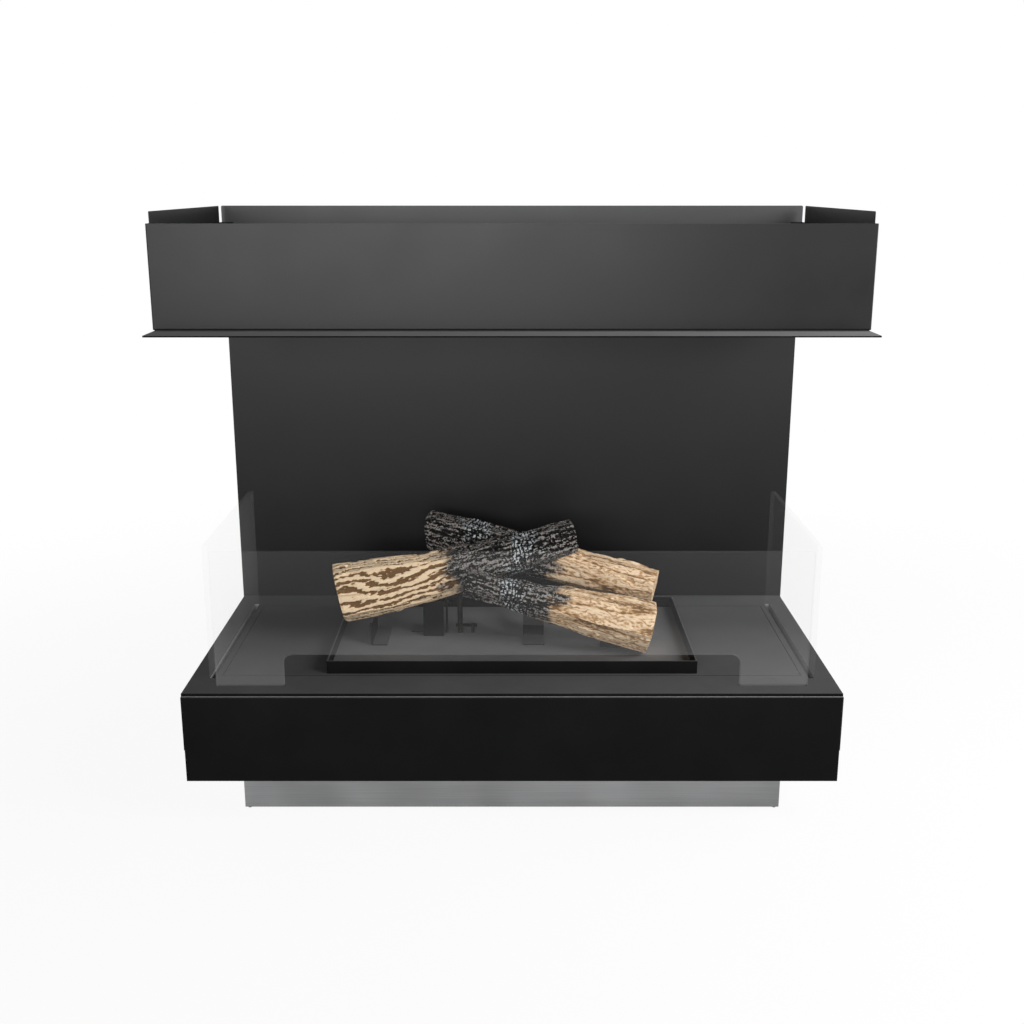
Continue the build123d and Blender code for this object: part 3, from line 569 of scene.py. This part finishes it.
def carve_log(node, bold, char_side, char_start, char_lean, ash_middle, seed):
    """The log's skin with its relief, and its paint as point attributes. The furrows and splits
    follow the grain, drift, and open and close; the charcoal starts along a leaning, ragged line.
    In the relief, plates stand above 0.1 and furrows and cracks lie below -0.16."""
    mesh = fused_solid(node, log_voxel)
    log = bmesh.new()
    log.from_mesh(mesh)
    log.normal_update()
    points = np.array([vert.co for vert in log.verts])
    centre = points.mean(axis=0)
    # The log's own length, width and thickness, as directions fitted to about 4000 of its points.
    every = max(1, len(points) // 4000)
    spread = np.linalg.svd(points[::every] - centre, full_matrices=False)[2]
    axes = [Vector(row) for row in spread]
    if axes[0].x < 0:
        axes[0] = -axes[0]
    middle = Vector(centre)
    paint = {"bark": [], "char": [], "ash": [], "sawn": [], "grain": []}
    for vert in log.verts:
        out = vert.co - middle
        place = Vector([out.dot(axis) for axis in axes])
        turn = math.atan2(place.z, place.y)
        frayed = streak(place, 8 * MM, 2.2 * MM, seed)
        crumbled = noise.noise(place / (3.2 * MM))
        drift = streak(place, 110 * MM, 30 * MM, seed + 3)
        opening = streak(place, 40 * MM, 12 * MM, seed + 7)
        if bold:
            waver = 3.4 * streak(place, 34 * MM, 14 * MM, seed + 5)
            furrow = math.cos(bold_furrows_round * turn + 9 * drift + waver)
            bark = 0.55 * furrow + 0.25 * opening + 0.95 * frayed + 0.08
        else:
            wide_curl = 9 * streak(place, 22 * MM, 13 * MM, seed + 5)
            tight_curl = 5 * streak(place, 9 * MM, 7 * MM, seed + 6)
            curl = wide_curl + tight_curl
            furrow = math.cos(fine_furrows_round * turn + 9 * drift + curl)
            swirl = 0.3 * furrow + 0.5 * opening + 0.7 * frayed + 0.16
            long_line = abs(streak(place, 140 * MM, 17 * MM, seed + 8))
            bark = min(max(-0.05, swirl), 2.4 * long_line - 0.24 + 0.4 * frayed)
        split = (
            0.28 * math.cos(splits_round * turn + 8 * drift)
            + 0.5 * opening
            + 0.9 * frayed
            + 0.8 * crumbled
            + 0.16
        )
        bend = 6 * noise.noise(place / (17 * MM))
        ring = math.cos(place.x * math.tau / crack_spacing + bend)
        band = math.exp(-(((vert.co.x - ash_middle) / ash_reach) ** 2))
        dusting = band + 0.9 * noise.noise(place / (15 * MM) + Vector((seed, 0.0, 0.0)))
        ash = smooth_step(0.35, 1.0, dusting)
        alligator = min(split, 0.25 - 0.5 * ring + 0.6 * frayed + 0.5 * (1 - band))
        tongues = 13 * streak(place, 26 * MM, 5 * MM, seed)
        ragged = 24 * noise.noise(place / (26 * MM)) + tongues
        edge = char_start + char_lean * out.z + ragged * MM
        char = smooth_step(-char_fade, char_fade, char_side * (vert.co.x - edge))
        sawn = smooth_step(0.8, 0.95, abs(vert.normal.dot(axes[0])))
        relief = bark * (1 - char) + alligator * char
        depth = bold_furrow_depth if bold else fine_furrow_depth
        depth = depth * (1 - char) + crack_depth * char
        cut = depth * (1 - smooth_step(-0.16, 0.1, relief)) * (1 - 0.85 * sawn)
        shed = streak(place, 55 * MM, 24 * MM, seed + 11)
        lost = lost_plate_depth * smooth_step(0.0, 0.06, shed)
        grit = grit_depth * (0.5 + 0.5 * noise.noise(place / (3 * MM)))
        outward = vert.normal - axes[0] * vert.normal.dot(axes[0])
        vert.co -= outward * (cut + lost) + vert.normal * grit
        paint["bark"].append(relief)
        paint["char"].append(char)
        paint["ash"].append(ash)
        paint["sawn"].append(sawn)
        paint["grain"].append(place[:])
    bmesh.ops.recalc_face_normals(log, faces=log.faces)
    log.to_mesh(mesh)
    log.free()
    for name in ("bark", "char", "ash", "sawn"):
        mesh.attributes.new(name, "FLOAT", "POINT").data.foreach_set("value", paint[name])
    grain = mesh.attributes.new("grain", "FLOAT_VECTOR", "POINT")
    grain.data.foreach_set("vector", np.array(paint["grain"]).ravel())
    mesh.polygons.foreach_set("use_smooth", [True] * len(mesh.polygons))
    return mesh


def painted_refractory_ceramic(name, furrow, slope, plate, pale):
    """Ceramic painted as wood and as charcoal. Fibre lines are 6 mm long and 1.6 mm apart along
    the grain, the grit is 2.2 mm across, and a sawn end has rings 7.5 mm apart, because a wave
    repeats every tau / 20 of its scale of 24 mm."""
    fibre_length = 6 * MM
    fibre_spacing = 1.6 * MM
    material = new_material(name)
    grain = add_node(
        material, "ShaderNodeAttribute", {"attribute_name": "grain"}
    ).outputs["Vector"]
    bark, char, ash, sawn = [
        add_node(material, "ShaderNodeAttribute", {"attribute_name": layer}).outputs["Fac"]
        for layer in ("bark", "char", "ash", "sawn")
    ]
    fibre_place = add_node(
        material,
        "ShaderNodeMapping",
        Vector=grain,
        Scale=(1 / fibre_length, 1 / fibre_spacing, 1 / fibre_spacing),
    ).outputs["Vector"]
    fibres = add_node(
        material, "ShaderNodeTexNoise", Vector=fibre_place, Scale=1.0, Detail=4.0, Roughness=0.6
    ).outputs["Fac"]
    grit = add_node(
        material, "ShaderNodeTexNoise", Vector=grain, Scale=1 / (2.2 * MM), Detail=3.0
    ).outputs["Fac"]
    frayed = add_node(
        material,
        "ShaderNodeMapRange",
        Value=fibres,
        From_Min=0.25,
        From_Max=0.75,
        To_Min=-0.16,
        To_Max=0.16,
    ).outputs["Result"]
    paint = add_node(
        material, "ShaderNodeMath", {"operation": "ADD"}, _0=bark, _1=frayed
    ).outputs["Value"]
    height = add_node(
        material, "ShaderNodeMapRange", Value=paint, From_Min=-0.4, From_Max=0.6
    ).outputs["Result"]
    wood_stops = [(0.2, furrow), (0.36, slope), (0.43, plate), (0.8, pale)]
    wood = add_node(
        material, "ShaderNodeValToRGB", {"stops": wood_stops}, Fac=height
    ).outputs["Color"]
    rings = add_node(
        material,
        "ShaderNodeTexWave",
        {"wave_type": "RINGS", "rings_direction": "X"},
        Vector=grain,
        Scale=1 / (24 * MM),
        Distortion=2.0,
        Detail=2.0,
    ).outputs["Fac"]
    end_stops = [(0.0, slope), (0.45, plate), (0.9, pale)]
    end_wood = add_node(
        material, "ShaderNodeValToRGB", {"stops": end_stops}, Fac=rings
    ).outputs["Color"]
    timber = add_node(
        material, "ShaderNodeMix", {"data_type": "RGBA"}, _0=sawn, _6=wood, _7=end_wood
    ).outputs[2]
    crusted = add_node(
        material, "ShaderNodeMapRange", Value=grit, **noise_span, To_Min=-0.4, To_Max=0.4
    ).outputs["Result"]
    crust = add_node(
        material, "ShaderNodeMath", {"operation": "ADD"}, _0=height, _1=crusted
    ).outputs["Value"]
    charcoal_stops = [(0.38, "#060505"), (0.52, "#22201e"), (0.7, "#55504d"), (0.95, "#96918d")]
    charcoal = add_node(
        material, "ShaderNodeValToRGB", {"stops": charcoal_stops}, Fac=crust
    ).outputs["Color"]
    ash_stops = [(0.38, "#070707"), (0.5, "#37383a"), (0.66, "#7f8385"), (0.92, "#c4c8ca")]
    dusted = add_node(
        material, "ShaderNodeValToRGB", {"stops": ash_stops}, Fac=crust
    ).outputs["Color"]
    burnt = add_node(
        material, "ShaderNodeMix", {"data_type": "RGBA"}, _0=ash, _6=charcoal, _7=dusted
    ).outputs[2]
    surface = add_node(
        material, "ShaderNodeMix", {"data_type": "RGBA"}, _0=char, _6=timber, _7=burnt
    ).outputs[2]
    roughness = add_node(
        material, "ShaderNodeMapRange", Value=char, To_Min=0.85, To_Max=0.7
    ).outputs["Result"]
    fine = add_node(
        material, "ShaderNodeMath", {"operation": "ADD"}, _0=fibres, _1=grit
    ).outputs["Value"]
    bump = add_node(
        material, "ShaderNodeBump", Height=fine, Strength=0.5, Distance=0.5 * MM
    ).outputs["Normal"]
    ceramic = add_node(
        material,
        "ShaderNodeBsdfPrincipled",
        Base_Color=surface,
        Roughness=roughness,
        Specular_IOR_Level=0.15,
        Normal=bump,
    )
    return finish_material(material, ceramic.outputs["BSDF"])


bold_bark = painted_refractory_ceramic(
    "painted_ceramic_bold_bark", furrow="#6e4f2b", slope="#80603a", plate="#e4c59e", pale="#f4dab6"
)
fine_bark = painted_refractory_ceramic(
    "painted_ceramic_fine_bark", furrow="#80603c", slope="#bb966c", plate="#dab994", pale="#f2d9b8"
)
# For each log: its bark, the side that is charred, where the charcoal starts and how far that line
# leans for each unit of height, where the ash lies, and the seed of its own pattern.
for node, bark, char_side, char_start, char_lean, ash_middle, seed in (
    ("top_log", bold_bark, 1, -108 * MM, -0.4, 16 * MM, 1.0),
    ("front_log", fine_bark, -1, 58 * MM, 0.8, 4 * MM, 2.7),
    ("back_log", fine_bark, -1, 72 * MM, 0.2, -60 * MM, 4.1),
):
    skin = carve_log(node, bark is bold_bark, char_side, char_start, char_lean, ash_middle, seed)
    new_piece(f"{node}_ceramic", skin, bark, f"{node}_body", node)

# Studio: a plain white floor that keeps the shadow, a broad soft lamp in front, two at the right,
# one behind, and a white room. The floor lies just under the plinth, so that the faces don't touch.
floor_radius = 7.0
floor_gap = 0.2 * MM
floor_near = 0.75
floor_far = 2.2


def white_studio_floor():
    """A lit white floor, which is lightened where the camera, a reflection or the glass shows it.
    It is lightened less near the fireplace, and least in a reflection, which keeps the shadow. It
    throws little light up, so that the black sheets stay black."""
    material = new_material("white_studio_floor")
    place = add_node(material, "ShaderNodeTexCoord").outputs["Object"]
    reach = add_node(
        material, "ShaderNodeVectorMath", {"operation": "LENGTH"}, _0=place
    ).outputs["Value"]
    soft = {"interpolation_type": "SMOOTHSTEP"}
    outward = {"Value": reach, "From_Min": floor_near, "From_Max": floor_far}
    seen_share = add_node(
        material, "ShaderNodeMapRange", soft, **outward, To_Min=0.92
    ).outputs["Result"]
    mirrored_share = add_node(
        material, "ShaderNodeMapRange", soft, **outward, To_Min=0.15
    ).outputs["Result"]
    path = add_node(material, "ShaderNodeLightPath").outputs
    direct = add_node(
        material,
        "ShaderNodeMath",
        {"operation": "MAXIMUM"},
        _0=path["Is Camera Ray"],
        _1=path["Is Transmission Ray"],
    ).outputs["Value"]
    seen = add_node(
        material, "ShaderNodeMath", {"operation": "MULTIPLY"}, _0=direct, _1=seen_share
    ).outputs["Value"]
    share = add_node(
        material,
        "ShaderNodeMath",
        {"operation": "MULTIPLY_ADD", "use_clamp": True},
        _0=path["Is Glossy Ray"],
        _1=mirrored_share,
        _2=seen,
    ).outputs["Value"]
    paper_colour = add_node(
        material,
        "ShaderNodeMix",
        {"data_type": "RGBA"},
        _0=path["Is Camera Ray"],
        _6=linear("#7c7c7c"),
        _7=linear("#f4f4f4"),
    ).outputs[2]
    paper = add_node(material, "ShaderNodeBsdfDiffuse", Color=paper_colour).outputs["BSDF"]
    white = add_node(
        material, "ShaderNodeEmission", Color=linear("#ffffff"), Strength=1.0
    ).outputs["Emission"]
    lit = add_node(
        material, "ShaderNodeMixShader", _0=share, _1=paper, _2=white
    ).outputs["Shader"]
    return finish_material(material, lit)


floor_shape = bmesh.new()
bmesh.ops.create_circle(floor_shape, cap_ends=True, segments=96, radius=floor_radius)
floor_mesh = bpy.data.meshes.new("studio_floor")
floor_shape.to_mesh(floor_mesh)
floor_shape.free()
floor_mesh.materials.append(white_studio_floor())
floor = bpy.data.objects.new("studio_floor", floor_mesh)
floor.location.z = -floor_gap
bpy.context.scene.collection.objects.link(floor)


def soft_lamp(name, place, aim, size, power):
    """An area lamp that faces the point it is aimed at. Metres and watts."""
    data = bpy.data.lights.new(name, "AREA")
    data.shape = "RECTANGLE"
    data.size, data.size_y = size
    data.energy = power
    lamp = bpy.data.objects.new(name, data)
    lamp.location = place
    lamp.rotation_euler = (Vector(aim) - Vector(place)).to_track_quat("-Z", "Y").to_euler()
    lamp.visible_camera = False
    bpy.context.scene.collection.objects.link(lamp)


soft_lamp("front_lamp", (-0.5, -3.4, 1.08), (-0.3, 0.0, 1.0), (2.2, 0.8), 56)
soft_lamp("right_lamp", (1.3, -1.0, 1.35), (0.2, -0.1, 0.25), (0.8, 0.7), 20)
soft_lamp("side_lamp", (2.1, 0.1, 1.05), (0.1, 0.0, 0.25), (0.9, 0.8), 18)
soft_lamp("back_lamp", (-0.8, 3.4, 0.55), (0.0, 0.2, 0.5), (2.0, 0.6), 60)

# The white room is full white where the camera, a reflection or the glass shows it, and lights the
# object at an eighth of that, so that the lamps model it.
world = bpy.data.worlds.new("white_room")
world.use_nodes = True
world.node_tree.nodes.clear()
bpy.context.scene.world = world
room_path = add_node(world, "ShaderNodeLightPath").outputs
room_shown = room_path["Is Camera Ray"]
for ray in ("Is Glossy Ray", "Is Transmission Ray"):
    room_shown = add_node(
        world, "ShaderNodeMath", {"operation": "MAXIMUM"}, _0=room_shown, _1=room_path[ray]
    ).outputs["Value"]
room_level = add_node(
    world, "ShaderNodeMapRange", Value=room_shown, To_Min=0.12, To_Max=1.0
).outputs["Result"]
room = add_node(world, "ShaderNodeBackground", Color=linear("#ffffff"), Strength=room_level)
add_node(world, "ShaderNodeOutputWorld", Surface=room.outputs["Background"])

# The camera stands 1.73 m in front of the fascia, on the middle line, and looks slightly down.
camera_distance = 1726.6 * MM
camera_height = 971.9 * MM
camera_tilt = math.radians(14.906)
field_of_view = math.radians(45)
front_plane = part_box("front_fascia")[0][1]
camera_data = bpy.data.cameras.new("camera")
camera_data.angle = field_of_view
camera = bpy.data.objects.new("camera", camera_data)
camera.location = (0, front_plane - camera_distance, camera_height)
camera.rotation_euler = (math.pi / 2 - camera_tilt, 0, 0)
bpy.context.scene.collection.objects.link(camera)
bpy.context.scene.camera = camera

bpy.context.scene.view_settings.view_transform = "Standard"
